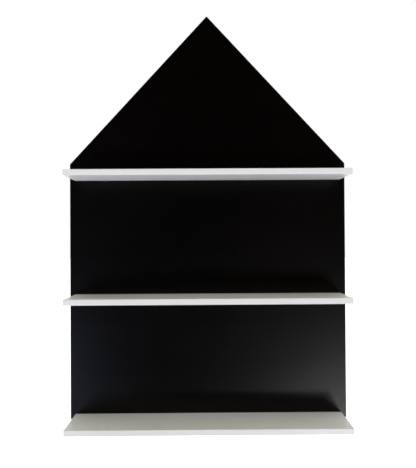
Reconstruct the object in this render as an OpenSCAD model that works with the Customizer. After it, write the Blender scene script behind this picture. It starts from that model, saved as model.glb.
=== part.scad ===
// House shaped bookcase for a child's room, hung on a wall.
// A gabled back board carries three shelves, which are screwed and
// dowelled on from behind. Two keyhole plates are let into the back.
//
// Millimetres. +Z is up and the front faces -Y. The origin is in the
// middle of the footprint, on the plane of the base.

/* [Back board] */
// Width of the back board
board_w = 800; // [700:10:900]
// Thickness of the back board
board_t = 16; // [16:0.5:19]
// Height of the vertical sides, from the base to the eaves
eaves_h = 740; // [730:5:800]
// Height from the base to the ridge of the gable
ridge_h = 1170; // [1120:5:1250]
// Radius of the outline's corners, seen from the front
corner_r = 3; // [2:0.5:6]
// Radius of the eased edges of the back board
board_ease = 1.2; // [0.6:0.1:1.5]

/* [Shelves] */
// How far each shelf's end lies inside the side of the board
shelf_inset = 14; // [5:1:40]
// Depth of a shelf, from the board's face to its front edge
shelf_d = 150; // [120:5:180]
// Thickness of a shelf
shelf_t = 16; // [16:0.5:19]
// Distance from one shelf's top to the next one's
shelf_pitch = 346; // [320:0.5:350]
// Radius of the eased edges of a shelf
shelf_ease = 1.5; // [0.6:0.1:2]

/* [Shelf fixings] */
// Distance from a shelf's end to its outer screw
screw_end = 64; // [50:1:100]
// Distance from the outer screw to the dowel beside it
dowel_gap = 32; // [24:1:64]
// Length of a shelf screw
screw_len = 50; // [46:1:60]
// Outer diameter of a shelf screw's thread
screw_thread_d = 7; // [6:0.1:7]
// Diameter of a shelf screw's head
screw_head_d = 10; // [9:0.1:10]
// Width across the flats of the socket in a shelf screw's head
screw_socket = 4; // [3:0.5:5]
// Diameter of a dowel
dowel_d = 8; // [6:0.5:8]
// Length of a dowel
dowel_len = 30; // [28:1:36]
// How deep the dowel goes into the back board
dowel_in_board = 10; // [8:0.5:11]

/* [Hanger plates] */
// Distance between the two hanger plates
hanger_spacing = 400; // [300:10:440]
// Height of a hanger plate's middle above the top shelf
hanger_above = 92; // [70:1:120]
// Width of a hanger plate
plate_w = 18; // [16:0.5:22]
// Height of a hanger plate
plate_h = 58; // [56:1:64]
// Thickness of a hanger plate
plate_t = 2; // [1.5:0.1:2.5]
// Diameter of the round entry hole of the keyhole
entry_d = 10; // [9:0.5:10.5]
// Width of the keyhole's slot
slot_w = 5; // [4.4:0.1:5.4]
// Travel from the entry hole up to the end of the slot
slot_travel = 16; // [13:0.5:17]

/* [Hidden] */
$fn = 64;

shelf_l = board_w - 2 * shelf_inset;
total_d = shelf_d + board_t;
back_y = total_d / 2;            // the face that lies on the wall
face_y = back_y - board_t;       // the board's front face
front_y = -total_d / 2;          // the shelves' front edge

// undersides of the shelves
bottom_z = 0;
middle_z = shelf_pitch;
top_z = 2 * shelf_pitch;

screw_x = shelf_l / 2 - screw_end;
dowel_x = screw_x - dowel_gap;
screw_xs = [-screw_x, 0, screw_x];
dowel_xs = [-dowel_x, dowel_x];

hanger_x = hanger_spacing / 2;
hanger_z = top_z + shelf_t + hanger_above;
plate_screw_z = plate_h / 2 - 7;   // from the plate's middle
keyhole_z = -slot_travel / 2;      // entry hole, from the plate's middle

gap = 0.03;       // air between a thread and the hole it has cut
plate_sink = 0.1; // how far a hanger plate lies below the board's back
far = 3000;       // longer than anything here

// ---------- helpers ----------

function unit(v) = v / norm(v);
function left_of(v) = [-v[1], v[0]];

// Corner i of a convex outline, moved in by r from both of its edges.
function moved_in(pts, i, r) =
    let (n = len(pts),
         a = left_of(unit(pts[i] - pts[(i + n - 1) % n])),
         b = left_of(unit(pts[(i + 1) % n] - pts[i])))
    pts[i] + r * (a + b) / (1 + a * b);

// Convex outline with every corner rounded to radius r.
module round_outline(pts, r) {
    n = len(pts);
    q = [for (i = [0 : n - 1]) moved_in(pts, i, r)];
    polygon(q);
    for (i = [0 : n - 1]) {
        j = (i + 1) % n;
        out = -r * left_of(unit(q[j] - q[i]));
        polygon([q[i], q[i] + out, q[j] + out, q[j]]);
        translate(q[i]) circle(r);
    }
}

// Section of a board whose edge at x = 0 is eased on both sides. It runs
// from there to x = len, and is t thick, centred on y = 0.
module eased_section(len, t, r) {
    translate([r, -t / 2]) square([len - r, t]);
    translate([0, -t / 2 + r]) square([len, t - 2 * r]);
    for (s = [-1, 1]) translate([r, s * (t / 2 - r)]) circle(r);
}

// ---------- back board ----------

hw = board_w / 2;
slope_len = norm([hw, ridge_h - eaves_h]);
half_ridge = atan2(hw, ridge_h - eaves_h);       // half of the ridge's angle
ridge_tip = ridge_h + corner_r * (1 / sin(half_ridge) - 1);
house = [[-hw, 0], [hw, 0], [hw, eaves_h], [0, ridge_tip], [-hw, eaves_h]];

// The house outline as a board, with its front and back edges eased.
module house_blank() {
    intersection() {
        translate([0, back_y, 0]) rotate([90, 0, 0])
            linear_extrude(board_t) round_outline(house, corner_r);
        for_edge(0);
        for_edge(1);
        for_edge(2);
        for_edge(3);
        for_edge(4);
    }
}

// A slab that ends at edge i of the outline and is eased there.
module for_edge(i) {
    a = house[i];
    b = house[(i + 1) % 5];
    turn = atan2(b[1] - a[1], b[0] - a[0]);
    translate([a[0], face_y + board_t / 2, a[1]])
        rotate([0, -turn, 0])
        translate([-far / 2, 0, 0])
        rotate([90, 0, 90])
        linear_extrude(far)
        rotate([0, 0, 90])
        eased_section(far, board_t, board_ease);
}

module back_board() {
    color([0.045, 0.045, 0.048])
    difference() {
        house_blank();
        for (z = [bottom_z, middle_z, top_z]) {
            for (x = screw_xs) at_back(x, z + shelf_t / 2) screw_hole();
            for (x = dowel_xs) at_face(x, z + shelf_t / 2) dowel_hole(dowel_in_board + 0.5);
        }
        for (s = [-1, 1]) at_back(s * hanger_x, hanger_z) {
            hanger_pocket();
            for (u = [-1, 1]) translate([0, u * plate_screw_z, 0])
                plate_screw_shape(gap);
        }
    }
}

// Places a shape that is drawn with its depth along +Z, so that its Z = 0
// lies on the board's back and its depth runs to the front. Its Y is up.
module at_back(x, z) {
    translate([x, back_y, z]) rotate([90, 0, 0]) children();
}

// The same from the board's front face, with the depth running to the back.
module at_face(x, z) {
    translate([x, face_y, z]) rotate([-90, 0, 0]) children();
}

// ---------- shelves ----------

module shelf(z) {
    color([0.93, 0.93, 0.92])
    difference() {
        translate([0, 0, z + shelf_t / 2]) shelf_blank();
        for (x = screw_xs) at_back(x, z + shelf_t / 2) screw_shape(gap);
        for (x = dowel_xs) translate([x, face_y, z + shelf_t / 2])
            rotate([90, 0, 0]) dowel_hole(dowel_len - dowel_in_board + 1);
    }
}

// Eased all round but along the rear edge, which butts on the board.
module shelf_blank() {
    intersection() {
        // seen from the end
        translate([-shelf_l / 2, front_y, 0]) rotate([90, 0, 90])
            linear_extrude(shelf_l) eased_section(shelf_d, shelf_t, shelf_ease);
        // seen from the front
        translate([0, back_y, 0]) rotate([90, 0, 0])
            linear_extrude(2 * total_d)
            round_outline([[-shelf_l / 2, -shelf_t / 2], [shelf_l / 2, -shelf_t / 2],
                           [shelf_l / 2, shelf_t / 2], [-shelf_l / 2, shelf_t / 2]], shelf_ease);
        // seen from above
        translate([0, front_y, -shelf_t])
            linear_extrude(2 * shelf_t) rotate([0, 0, 90])
            eased_section(2 * total_d, shelf_l, shelf_ease);
    }
}

module shelf_bottom() shelf(bottom_z);
module shelf_middle() shelf(middle_z);
module shelf_top() shelf(top_z);

// ---------- shelf screws ----------

thread_pitch = 3;
thread_r = screw_thread_d / 2;
core_r = thread_r - 1.1;
neck_r = thread_r - 0.1;
neck_end = board_t - 1.5;
thread_from = board_t + 1;
thread_n = floor((screw_len - 4 - thread_from) / thread_pitch);

// Half section of a shelf screw: x is the radius, y the distance from the
// top of the head. The thread is a row of rings. c is added all round.
function screw_half(c) = concat(
    [[0, 0.2 - c], [screw_head_d / 2 + c, 0.2 - c], [screw_head_d / 2 + c, 0.9],
     [neck_r + c, 0.9 + screw_head_d / 2 - neck_r], [neck_r + c, neck_end],
     [core_r + c, neck_end + 1]],
    [for (i = [0 : thread_n - 1], p = [[core_r, 0.5], [thread_r, 1.35], [thread_r, 1.65], [core_r, 2.5]])
        [p[0] + c, thread_from + thread_pitch * i + p[1] + (p[1] < 1.5 ? -c : c)]],
    [[core_r + c, screw_len - 2], [core_r - 0.9 + c, screw_len + c], [0, screw_len + c]]);

module screw_shape(c) {
    rotate_extrude() polygon(screw_half(c));
}

module shelf_screw() {
    difference() {
        screw_shape(0);
        translate([0, 0, -1]) rotate([0, 0, 30])
            cylinder(r = screw_socket / 2 / cos(30), h = 4.4, $fn = 6);
    }
}

// Clearance hole through the board, countersunk for the head.
module screw_hole() {
    r = neck_r + 0.2;
    rotate_extrude() polygon([
        [0, -1], [screw_head_d / 2 + 0.15, -1], [screw_head_d / 2 + 0.15, 1],
        [r, 1 + screw_head_d / 2 + 0.15 - r], [r, board_t + 1], [0, board_t + 1]]);
}

module shelf_screws(z) {
    color([0.78, 0.78, 0.76])
    for (x = screw_xs) at_back(x, z + shelf_t / 2) shelf_screw();
}

module shelf_screws_bottom() shelf_screws(bottom_z);
module shelf_screws_middle() shelf_screws(middle_z);
module shelf_screws_top() shelf_screws(top_z);

// ---------- dowels ----------

dowel_r = dowel_d / 2;
flutes = 12;

// Fluted dowel along +Z, chamfered at both ends.
module dowel() {
    difference() {
        rotate_extrude() polygon([
            [0, 0], [dowel_r - 1, 0], [dowel_r, 1.2],
            [dowel_r, dowel_len - 1.2], [dowel_r - 1, dowel_len], [0, dowel_len]]);
        for (i = [0 : flutes - 1]) rotate([0, 0, 360 / flutes * (i + 0.5)])
            translate([dowel_r + 0.15, 0, -1]) cylinder(r = 0.55, h = dowel_len + 2, $fn = 24);
    }
}

module dowel_hole(depth) {
    translate([0, 0, -1]) cylinder(r = dowel_r + gap, h = depth + 1);
}

module shelf_dowels(z) {
    color([0.80, 0.66, 0.46])
    for (x = dowel_xs) translate([x, face_y + dowel_in_board, z + shelf_t / 2])
        rotate([90, 0, 0]) dowel();
}

module shelf_dowels_bottom() shelf_dowels(bottom_z);
module shelf_dowels_middle() shelf_dowels(middle_z);
module shelf_dowels_top() shelf_dowels(top_z);

// ---------- hanger plates ----------

// A slot with round ends, d wide, between heights z0 and z1.
module slot(d, z0, z1) {
    translate([-d / 2, z0]) square([d, z1 - z0]);
    translate([0, z0]) circle(d / 2);
    translate([0, z1]) circle(d / 2);
}

// Pocket for the plate, with a deeper one for the wall screw's head.
module hanger_pocket() {
    e = plate_h / 2 - plate_w / 2;
    translate([0, 0, -1]) linear_extrude(1 + plate_sink + plate_t) slot(plate_w + 0.3, -e, e);
    translate([0, 0, -1]) linear_extrude(10)
        slot(entry_d + 2.5, keyhole_z, keyhole_z + slot_travel);
}

module hanger_plate() {
    e = plate_h / 2 - plate_w / 2;
    difference() {
        translate([0, 0, plate_sink]) linear_extrude(plate_t) slot(plate_w, -e, e);
        translate([0, keyhole_z, -1]) cylinder(r = entry_d / 2, h = plate_t + 2);
        translate([0, 0, -1]) linear_extrude(plate_t + 2)
            slot(slot_w, keyhole_z, keyhole_z + slot_travel);
        for (u = [-1, 1]) translate([0, u * plate_screw_z, 0]) rotate_extrude()
            polygon([[0, -1], [3.55, -1], [3.55, 0.5], [1.95, 2.1], [1.95, plate_t + 1], [0, plate_t + 1]]);
    }
}

module hanger(side) {
    color([0.72, 0.73, 0.75]) at_back(side * hanger_x, hanger_z) hanger_plate();
}

module hanger_left() hanger(-1);
module hanger_right() hanger(1);

// Half section of a 3.5 x 12 countersunk wood screw.
ps_pitch = 1.5;
function plate_screw_half(c) = concat(
    [[0, 0.15 - c], [3.4 + c, 0.15 - c], [3.4 + c, 0.45], [1.75 + c, 2.1], [1.75 + c, 2.4], [1.2 + c, 2.8]],
    [for (i = [0 : 4], p = [[1.2, 0.25], [1.75, 0.65], [1.75, 0.8], [1.2, 1.2]])
        [p[0] + c, 2.8 + ps_pitch * i + p[1] + (p[1] < 0.7 ? -c : c)]],
    [[1.2 + c, 10.4], [0.15 + c, 12 + c], [0, 12 + c]]);

module plate_screw_shape(c) {
    rotate_extrude() polygon(plate_screw_half(c));
}

module plate_screw() {
    difference() {
        plate_screw_shape(0);
        for (a = [0, 90]) rotate([0, 0, a]) translate([-2, -0.45, -1]) cube([4, 0.9, 2.3]);
    }
}

module hanger_screws(side) {
    color([0.80, 0.72, 0.45])
    at_back(side * hanger_x, hanger_z)
        for (u = [-1, 1]) translate([0, u * plate_screw_z, 0]) plate_screw();
}

module hanger_screws_left() hanger_screws(-1);
module hanger_screws_right() hanger_screws(1);

// ---------- assembly ----------

back_board();
shelf_top();
shelf_middle();
shelf_bottom();
shelf_screws_top();
shelf_screws_middle();
shelf_screws_bottom();
shelf_dowels_top();
shelf_dowels_middle();
shelf_dowels_bottom();
hanger_left();
hanger_right();
hanger_screws_left();
hanger_screws_right();
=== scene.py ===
import math

import bpy
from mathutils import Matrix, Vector


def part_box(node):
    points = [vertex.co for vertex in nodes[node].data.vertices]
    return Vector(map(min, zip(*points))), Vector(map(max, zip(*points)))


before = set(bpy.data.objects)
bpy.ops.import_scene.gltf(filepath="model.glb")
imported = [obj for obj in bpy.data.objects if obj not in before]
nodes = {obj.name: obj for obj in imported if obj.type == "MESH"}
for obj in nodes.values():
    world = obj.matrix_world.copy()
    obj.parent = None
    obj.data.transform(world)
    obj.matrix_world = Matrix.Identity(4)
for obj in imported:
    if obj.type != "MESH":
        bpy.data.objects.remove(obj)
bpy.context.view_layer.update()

scene = bpy.context.scene


# ---------------------------------------------------------------------------
# Camera: level, 1.7 m in front of the board and a little below half height
# ---------------------------------------------------------------------------

lens = bpy.data.cameras.new("camera")
lens.lens = 44.75
lens.sensor_width = 36.0
lens.clip_start = 0.05
lens.clip_end = 100.0
camera = bpy.data.objects.new("camera", lens)
camera.location = (-0.0099, -1.6263, 0.5207)
camera.rotation_euler = (math.radians(90.490), math.radians(0.322), math.radians(-0.360))
scene.collection.objects.link(camera)
scene.camera = camera

scene.view_settings.view_transform = "Standard"
scene.view_settings.look = "None"
scene.view_settings.exposure = 0.0
scene.view_settings.gamma = 1.0


# ---------------------------------------------------------------------------
# Node trees
# ---------------------------------------------------------------------------


class Tree:
    """Short calls for a material's node tree. A vector or number goes in as it is, a socket is linked."""

    def __init__(self, name):
        self.material = bpy.data.materials.new(name)
        self.material.use_nodes = True
        self.tree = self.material.node_tree
        self.tree.nodes.clear()
        self.out = self.tree.nodes.new("ShaderNodeOutputMaterial")
        self.place = self.node("ShaderNodeTexCoord").outputs["Object"]

    def put(self, socket, value):
        if isinstance(value, bpy.types.NodeSocket):
            self.tree.links.new(value, socket)
        elif value is not None:
            socket.default_value = value

    def node(self, kind, **settings):
        made = self.tree.nodes.new(kind)
        for name, value in settings.items():
            setattr(made, name, value)
        return made

    def maths(self, operation, a, b=None, c=None, clamp=False):
        made = self.node("ShaderNodeMath", operation=operation, use_clamp=clamp)
        for socket, value in zip(made.inputs, (a, b, c)):
            self.put(socket, value)
        return made.outputs[0]

    def stretched(self, scale, turn=(0.0, 0.0, 0.0), shift=(0.0, 0.0, 0.0), of=None):
        made = self.node("ShaderNodeMapping")
        self.put(made.inputs["Vector"], of or self.place)
        made.inputs["Location"].default_value = shift
        made.inputs["Rotation"].default_value = turn
        made.inputs["Scale"].default_value = scale
        return made.outputs[0]

    def noise(self, scale, detail=2.0, rough=0.5, distortion=0.0, of=None):
        made = self.node("ShaderNodeTexNoise")
        self.put(made.inputs["Vector"], of or self.place)
        made.inputs["Scale"].default_value = scale
        made.inputs["Detail"].default_value = detail
        made.inputs["Roughness"].default_value = rough
        made.inputs["Distortion"].default_value = distortion
        return made.outputs[0]

    def cells(self, scale, feature="F1", randomness=1.0, of=None):
        made = self.node("ShaderNodeTexVoronoi", feature=feature)
        self.put(made.inputs["Vector"], of or self.place)
        made.inputs["Scale"].default_value = scale
        made.inputs["Randomness"].default_value = randomness
        return made

    def span(self, value, low, high, new_low, new_high, smooth=False):
        made = self.node("ShaderNodeMapRange", interpolation_type="SMOOTHSTEP" if smooth else "LINEAR", clamp=True)
        self.put(made.inputs["Value"], value)
        for name, number in (("From Min", low), ("From Max", high), ("To Min", new_low), ("To Max", new_high)):
            self.put(made.inputs[name], number)
        return made.outputs["Result"]

    def mix(self, factor, a, b, blend="MIX"):
        made = self.node("ShaderNodeMix", data_type="RGBA", blend_type=blend)
        made.clamp_factor = True
        self.put(made.inputs[0], factor)
        self.put(made.inputs[6], a)
        self.put(made.inputs[7], b)
        return made.outputs[2]

    def ramp(self, factor, stops):
        made = self.node("ShaderNodeValToRGB")
        band = made.color_ramp
        while len(band.elements) > 1:
            band.elements.remove(band.elements[-1])
        band.elements[0].position, band.elements[0].color = stops[0][0], rgb(*stops[0][1])
        for position, colour in stops[1:]:
            band.elements.new(position).color = rgb(*colour)
        self.put(made.inputs["Fac"], factor)
        return made.outputs["Color"]

    def split(self, vector):
        made = self.node("ShaderNodeSeparateXYZ")
        self.put(made.inputs[0], vector)
        return made.outputs

    def bump(self, height, distance, strength=1.0, normal=None):
        made = self.node("ShaderNodeBump")
        made.inputs["Strength"].default_value = strength
        made.inputs["Distance"].default_value = distance
        self.put(made.inputs["Height"], height)
        self.put(made.inputs["Normal"], normal)
        return made.outputs["Normal"]

    def finish(self, **sockets):
        shader = self.node("ShaderNodeBsdfPrincipled")
        for name, value in sockets.items():
            self.put(shader.inputs[name.replace("_", " ")], value)
        self.tree.links.new(shader.outputs["BSDF"], self.out.inputs["Surface"])
        return self.material


def rgb(r, g, b):
    return (r, g, b, 1.0)


# ---------------------------------------------------------------------------
# Materials
# ---------------------------------------------------------------------------

BOARD_FRONT, BOARD_BACK = 0.067, 0.083
HALF_WIDTH, EAVES, RIDGE = 0.400, 0.740, 1.170


def outline_gap(t):
    """How far a point lies inside the board's outline, in metres."""
    x, y, z = t.split(t.place)
    across = t.maths("ABSOLUTE", x)
    side = t.maths("SUBTRACT", HALF_WIDTH, across)
    rise = RIDGE - EAVES
    long = math.hypot(HALF_WIDTH, rise)
    slope = t.maths("ADD", t.maths("MULTIPLY", across, -rise / long), t.maths("MULTIPLY", z, -HALF_WIDTH / long))
    slope = t.maths("ADD", slope, RIDGE * HALF_WIDTH / long)
    return t.maths("MINIMUM", t.maths("MINIMUM", side, slope), z)


def black_lacquer():
    """Sprayed satin lacquer: nearly black, with a fine orange peel and rubbed arrises. The back has one thin, uneven coat."""
    t = Tree("black_lacquer_satin")
    clouds = t.noise(2.6, 3.0, 0.55)
    passes = t.noise(1.0, 2.0, 0.5, of=t.stretched((1.2, 1.0, 9.0)))
    peel = t.noise(240.0, 1.5, 0.45)
    grain = t.noise(1500.0, 2.0, 0.6)
    depth = t.split(t.place)[1]
    sunk = t.maths("MINIMUM", t.maths("SUBTRACT", depth, BOARD_FRONT), t.maths("SUBTRACT", BOARD_BACK, depth))
    arris = t.span(t.maths("MAXIMUM", outline_gap(t), sunk), 0.0003, 0.0014, 1.0, 0.0, smooth=True)
    rubbed = t.maths("MULTIPLY", arris, t.span(t.noise(9.0, 3.0, 0.6), 0.40, 0.64, 0.1, 1.0, smooth=True))
    back = t.span(depth, BOARD_BACK - 0.0008, BOARD_BACK - 0.0003, 0.0, 1.0, smooth=True)
    mottle = t.noise(11.0, 5.0, 0.62, 0.3)
    sweeps = t.noise(1.0, 3.0, 0.6, of=t.stretched((1.6, 1.0, 15.0), turn=(0.0, 0.12, 0.0)))
    fibres = t.noise(420.0, 4.0, 0.7, of=t.stretched((1.0, 1.0, 2.2)))

    colour = t.mix(t.span(clouds, 0.3, 0.7, 0.0, 1.0), rgb(0.0007, 0.0003, 0.0001), rgb(0.0011, 0.0005, 0.0003))
    colour = t.mix(t.span(grain, 0.35, 0.75, 0.0, 0.35), colour, rgb(0.0020, 0.0012, 0.0009))
    colour = t.mix(t.maths("MULTIPLY", rubbed, 0.5), colour, rgb(0.0045, 0.0040, 0.0036))
    thin = t.mix(t.span(mottle, 0.36, 0.64, 0.0, 1.0), rgb(0.0026, 0.0025, 0.0024), rgb(0.0165, 0.0158, 0.0150))
    thin = t.mix(t.span(sweeps, 0.42, 0.66, 0.0, 0.7), thin, rgb(0.0036, 0.0035, 0.0033))
    thin = t.mix(t.span(fibres, 0.54, 0.74, 0.0, 0.45), thin, rgb(0.0290, 0.0260, 0.0220))
    colour = t.mix(back, colour, thin)

    rough = t.span(clouds, 0.3, 0.7, 0.259, 0.281)
    rough = t.maths("ADD", rough, t.span(passes, 0.3, 0.7, -0.010, 0.010))
    rough = t.maths("ADD", rough, t.span(grain, 0.3, 0.7, -0.012, 0.012))
    rough = t.maths("SUBTRACT", rough, t.maths("MULTIPLY", rubbed, 0.04))
    rough = t.maths("ADD", rough, t.maths("MULTIPLY", back, t.span(mottle, 0.3, 0.7, 0.10, 0.24)))

    normal = t.bump(peel, 0.00003, 0.6)
    normal = t.bump(grain, 0.000004, 0.5, normal)
    normal = t.bump(t.maths("MULTIPLY", fibres, back), 0.00005, 0.6, normal)
    return t.finish(Base_Color=colour, Roughness=rough, Normal=normal, Specular_IOR_Level=0.175)


def white_lacquer():
    """Sprayed satin lacquer, a touch warmer where it is thin."""
    t = Tree("white_lacquer_satin")
    clouds = t.noise(5.0, 3.0, 0.55)
    peel = t.noise(260.0, 1.5, 0.45)
    grain = t.noise(1600.0, 2.0, 0.6)
    colour = t.mix(t.span(clouds, 0.3, 0.7, 0.0, 1.0), rgb(0.835, 0.835, 0.828), rgb(0.862, 0.862, 0.860))
    colour = t.mix(t.span(grain, 0.55, 0.8, 0.0, 0.25), colour, rgb(0.80, 0.795, 0.78))
    rough = t.span(clouds, 0.3, 0.7, 0.27, 0.31)
    rough = t.maths("ADD", rough, t.span(grain, 0.3, 0.7, -0.015, 0.015))
    normal = t.bump(peel, 0.00003, 0.6)
    normal = t.bump(grain, 0.000004, 0.5, normal)
    return t.finish(Base_Color=colour, Roughness=rough, Normal=normal, Specular_IOR_Level=0.175)


def raw_fibreboard():
    """Bare medium density fibreboard, as the drill leaves it."""
    t = Tree("raw_fibreboard")
    fibres = t.noise(900.0, 4.0, 0.7, of=t.stretched((1.0, 2.6, 1.0)))
    clouds = t.noise(70.0, 3.0, 0.6)
    flecks = t.cells(1300.0).outputs["Distance"]
    colour = t.mix(t.span(fibres, 0.3, 0.7, 0.0, 1.0), rgb(0.235, 0.150, 0.085), rgb(0.430, 0.305, 0.190))
    colour = t.mix(t.span(clouds, 0.4, 0.7, 0.0, 0.4), colour, rgb(0.330, 0.215, 0.125))
    colour = t.mix(t.span(flecks, 0.08, 0.20, 0.5, 0.0), colour, rgb(0.150, 0.085, 0.045))
    rough = t.span(fibres, 0.3, 0.7, 0.84, 0.95)
    normal = t.bump(fibres, 0.00012, 0.8)
    return t.finish(Base_Color=colour, Roughness=rough, Normal=normal, Specular_IOR_Level=0.3)


def zinc_steel():
    """Bright zinc on steel: fine drawing marks, a faint spangle and duller patches."""
    t = Tree("zinc_plated_steel")
    drawn = t.noise(500.0, 3.0, 0.6, of=t.stretched((7.0, 1.0, 0.35)))
    patches = t.noise(120.0, 3.0, 0.6)
    spangle = t.cells(420.0).outputs["Color"]
    shade = t.split(spangle)[0]
    colour = t.mix(t.span(patches, 0.35, 0.7, 0.0, 1.0), rgb(0.58, 0.59, 0.61), rgb(0.73, 0.74, 0.76))
    colour = t.mix(t.span(shade, 0.0, 1.0, 0.0, 0.22), colour, rgb(0.50, 0.52, 0.56))
    rough = t.span(patches, 0.3, 0.7, 0.26, 0.38)
    rough = t.maths("ADD", rough, t.span(drawn, 0.3, 0.7, -0.05, 0.06))
    normal = t.bump(drawn, 0.000012, 0.6)
    return t.finish(Base_Color=colour, Metallic=1.0, Roughness=rough, Normal=normal)


def yellow_zinc_steel():
    """Yellow passivated zinc: gold that turns to straw, with green and rose where the film is thicker."""
    t = Tree("yellow_passivated_steel")
    film = t.noise(240.0, 3.0, 0.55, 0.6)
    patches = t.noise(620.0, 2.0, 0.6)
    colour = t.ramp(
        film,
        (
            (0.30, (0.66, 0.60, 0.36)),
            (0.45, (0.74, 0.60, 0.27)),
            (0.56, (0.70, 0.52, 0.26)),
            (0.64, (0.66, 0.46, 0.36)),
            (0.74, (0.50, 0.56, 0.34)),
        ),
    )
    rough = t.span(patches, 0.3, 0.7, 0.28, 0.42)
    normal = t.bump(patches, 0.00001, 0.6)
    return t.finish(Base_Color=colour, Metallic=1.0, Roughness=rough, Normal=normal)


def beech():
    """Turned beech: close grain along the dowel, with the short dark flecks of the rays."""
    t = Tree("raw_beech")
    along = t.stretched((1.0, 0.045, 1.0))
    grain = t.noise(1500.0, 4.0, 0.6, 0.4, of=along)
    rings = t.noise(260.0, 2.0, 0.5, of=along)
    rays = t.cells(950.0, of=t.stretched((1.0, 0.28, 1.0))).outputs["Distance"]
    colour = t.mix(t.span(grain, 0.3, 0.7, 0.0, 1.0), rgb(0.52, 0.335, 0.190), rgb(0.70, 0.505, 0.320))
    colour = t.mix(t.span(rings, 0.4, 0.65, 0.0, 0.5), colour, rgb(0.56, 0.36, 0.21))
    colour = t.mix(t.span(rays, 0.10, 0.24, 0.7, 0.0), colour, rgb(0.36, 0.20, 0.10))
    rough = t.span(grain, 0.3, 0.7, 0.58, 0.72)
    normal = t.bump(grain, 0.00005, 0.7)
    return t.finish(Base_Color=colour, Roughness=rough, Normal=normal, Specular_IOR_Level=0.35)


BLACK, WHITE, RAW = black_lacquer(), white_lacquer(), raw_fibreboard()
ZINC, YELLOW, BEECH = zinc_steel(), yellow_zinc_steel(), beech()


def dress(node, outside, inside=None, skin=None):
    """Gives a CAD piece its material, and a second one to the faces that the drill or router has made."""
    mesh = node.data
    mesh.materials.clear()
    mesh.materials.append(outside)
    if inside:
        mesh.materials.append(inside)
        for face in mesh.polygons:
            face.material_index = 0 if skin(face) else 1


def board_skin(face):
    """True on the lacquered faces: front, back and the rounded edge all round."""
    x, y, z = face.center
    if abs(face.normal.y) > 0.99 and (abs(y - BOARD_FRONT) < 0.0001 or abs(y - BOARD_BACK) < 0.0001):
        return True
    rise = RIDGE - EAVES
    slope = ((RIDGE - z) * HALF_WIDTH - abs(x) * rise) / math.hypot(HALF_WIDTH, rise)
    return min(HALF_WIDTH - abs(x), slope, z) < 0.0020


def shelf_skin(node):
    low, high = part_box(node)

    def skin(face):
        x, y, z = face.center
        inside = min(x - low[0], high[0] - x, z - low[2], high[2] - z)
        return inside < 0.0022 or y < low[1] + 0.0025 or (face.normal.y > 0.99 and high[1] - y < 0.0001)

    return skin


dress(nodes["back_board"], BLACK, RAW, board_skin)
for level in ("top", "middle", "bottom"):
    dress(nodes["shelf_" + level], WHITE, RAW, shelf_skin("shelf_" + level))
    dress(nodes["shelf_screws_" + level], ZINC)
    dress(nodes["shelf_dowels_" + level], BEECH)
for side in ("left", "right"):
    dress(nodes["hanger_" + side], ZINC)
    dress(nodes["hanger_screws_" + side], YELLOW)


# ---------------------------------------------------------------------------
# Floor: plain and pale, only for the camera, so that it neither stops nor throws light
# ---------------------------------------------------------------------------


def pale_floor():
    """White, apart from a painted shadow behind the board: a soft grey patch where the glow is turned down, which
    widens and fades out away from it. The board's real shadows also show inside it. Clear from below.
    """
    t = Tree("pale_floor")
    clouds = t.noise(1.3, 3.0, 0.5)
    colour = t.mix(t.span(clouds, 0.3, 0.7, 0.0, 1.0), rgb(0.76, 0.76, 0.76), rgb(0.80, 0.80, 0.80))
    x, y, z = t.split(t.place)
    # painted shadow: a patch behind the board, shaped like a shadow, where the floor's glow drops from 1.0 to 0.36, so
    # real shadows show there too
    behind = t.maths("MULTIPLY", t.span(y, 0.070, 0.085, 0.0, 1.0, smooth=True), t.span(y, 1.10, 0.25, 0.0, 1.0, smooth=True))
    across = t.maths("DIVIDE", t.maths("ABSOLUTE", x), t.maths("ADD", y, 1.626))
    behind = t.maths("MULTIPLY", behind, t.span(across, 0.232, 0.150, 0.0, 1.0, smooth=True))
    glow_with_painted_shadow = t.span(behind, 0.0, 1.0, 1.0, 0.36)
    made = t.finish(Base_Color=colour, Roughness=0.9, Specular_IOR_Level=0.0, Emission_Color=rgb(1.0, 1.0, 1.0), Emission_Strength=glow_with_painted_shadow)
    surface = t.out.inputs["Surface"]
    seen = surface.links[0].from_socket
    either = t.node("ShaderNodeMixShader")
    t.put(either.inputs[0], t.node("ShaderNodeNewGeometry").outputs["Backfacing"])
    t.put(either.inputs[1], seen)
    t.put(either.inputs[2], t.node("ShaderNodeBsdfTransparent").outputs[0])
    t.put(surface, either.outputs[0])
    return made


reach = 14.0
sheet = bpy.data.meshes.new("floor")
sheet.from_pydata([(-reach, -reach, 0.0), (reach, -reach, 0.0), (reach, reach, 0.0), (-reach, reach, 0.0)], [], [(0, 1, 2, 3)])
sheet.materials.append(pale_floor())
floor = bpy.data.objects.new("floor", sheet)
floor.location.z = -0.0002
scene.collection.objects.link(floor)
floor.visible_diffuse = floor.visible_glossy = floor.visible_transmission = floor.visible_shadow = False


# ---------------------------------------------------------------------------
# Light: white to the camera. For the object, a bright studio with a dark part behind the camera, and large soft boxes
# ---------------------------------------------------------------------------

world = bpy.data.worlds.new("studio")
scene.world = world
world.use_nodes = True


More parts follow.
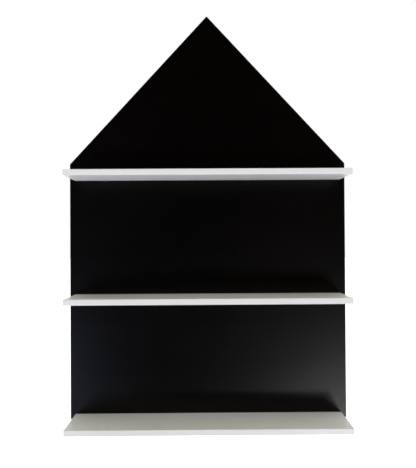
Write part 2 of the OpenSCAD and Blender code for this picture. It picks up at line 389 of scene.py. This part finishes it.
def room(parts):
    """The studio's light by direction: each part is a colour times one or more smooth steps along x, y or z."""
    tree = world.node_tree
    tree.nodes.clear()

    def made(kind, *inputs, **settings):
        node = tree.nodes.new(kind)
        for name, value in settings.items():
            setattr(node, name, value)
        for socket, value in inputs:
            if isinstance(value, bpy.types.NodeSocket):
                tree.links.new(value, node.inputs[socket])
            else:
                node.inputs[socket].default_value = value
        return node.outputs[0] if node.outputs else None

    def step(axis, low, high):
        ends = (("Value", way.outputs[axis]), ("From Min", low), ("From Max", high), ("To Min", 0.0), ("To Max", 1.0))
        return made("ShaderNodeMapRange", *ends, interpolation_type="SMOOTHSTEP")

    way = tree.nodes.new("ShaderNodeSeparateXYZ")
    tree.links.new(made("ShaderNodeTexCoord"), way.inputs[0])
    total = None
    for name, colour, steps in parts:
        amount = step(*steps[0])
        for further in steps[1:]:
            amount = made("ShaderNodeMath", (0, amount), (1, step(*further)), operation="MULTIPLY")
        part = tree.nodes.new("ShaderNodeVectorMath")
        part.name, part.operation = name, "SCALE"
        part.inputs[0].default_value = colour
        tree.links.new(amount, part.inputs["Scale"])
        total = made("ShaderNodeVectorMath", (0, total), (1, part.outputs[0]), operation="ADD") if total else part.outputs[0]
    lit = made("ShaderNodeBackground", ("Color", total), ("Strength", 1.0))
    white = made("ShaderNodeBackground", ("Color", rgb(1.0, 1.0, 1.0)), ("Strength", 1.0))
    rays = tree.nodes.new("ShaderNodeLightPath")
    either = made("ShaderNodeMixShader", (0, rays.outputs["Is Camera Ray"]), (1, lit), (2, white))
    made("ShaderNodeOutputWorld", ("Surface", either))


ROOM = (
    # name, colour, and the steps that bound it: axis, from, to
    ("low_left", (3.68, 3.60, 3.98), (("X", -0.3, -0.6), ("Z", -0.3, -0.6), ("Y", 0.1, -0.2))),
    ("low_right", (1.71, 1.64, 1.68), (("X", 0.3, 0.6), ("Z", -0.3, -0.6), ("Y", 0.1, -0.2))),
    ("side_left_high", (0.11, 0.11, 0.107), (("X", -0.5, -0.9), ("Z", -0.1, 0.2), ("Y", 0.5, 0.1))),
    ("side_left_low", (1.01, 1.015, 1.02), (("X", -0.5, -0.9), ("Z", 0.1, -0.2), ("Y", 0.5, 0.1))),
    ("side_right_high", (1.21, 1.10, 0.95), (("X", 0.5, 0.9), ("Z", -0.1, 0.2), ("Y", 0.5, 0.1))),
    ("rear_side", (0.942, 0.995, 0.988), (("Y", 0.0, 0.3),)),
    ("rear_level", (0.097, 0.105, 0.088), (("Y", 0.0, 0.3), ("Z", -0.35, -0.15), ("Z", 0.35, 0.15))),
)
room(ROOM)


def softbox(name, at, aim, width, height, watts, colour):
    data = bpy.data.lights.new(name, "AREA")
    data.shape = "RECTANGLE"
    data.size, data.size_y = width, height
    data.energy = watts
    data.color = colour
    made = bpy.data.objects.new(name, data)
    made.location = at
    made.rotation_euler = (Vector(aim) - Vector(at)).to_track_quat("-Z", "Y").to_euler()
    made.visible_camera = False
    scene.collection.objects.link(made)
    return made


SOFTBOXES = (
    # name, place, aim, width, height, watts, colour
    ("front_right", (2.90, -7.20, -2.20), (0.0, 0.0, 0.35), 0.8, 0.8, 50.2, (1.0, 1.0, 1.0)),
    ("front_right_low", (2.20, -7.30, -3.00), (0.0, 0.0, 0.35), 0.8, 0.8, 97.9, (1.0, 1.0, 1.0)),
    ("front_left", (-2.76, -5.13, -1.45), (0.0, 0.0, 0.5), 1.9, 1.9, 55.1, (0.624, 0.735, 1.0)),
    ("upper_left", (-2.962, -1.851, 1.371), (0.0, 0.0, 0.5), 2.6, 2.6, 38.4, (0.995, 1.0, 0.97)),
    ("upper_right", (2.962, -1.851, 1.371), (0.0, 0.0, 0.5), 2.6, 2.6, 37.8, (1.0, 0.987, 0.913)),
    ("overhead", (0.0, -0.992, 3.961), (0.0, 0.0, 0.5), 2.2, 2.2, 24.2, (1.0, 0.847, 0.566)),
)
for row in SOFTBOXES:
    softbox(*row)
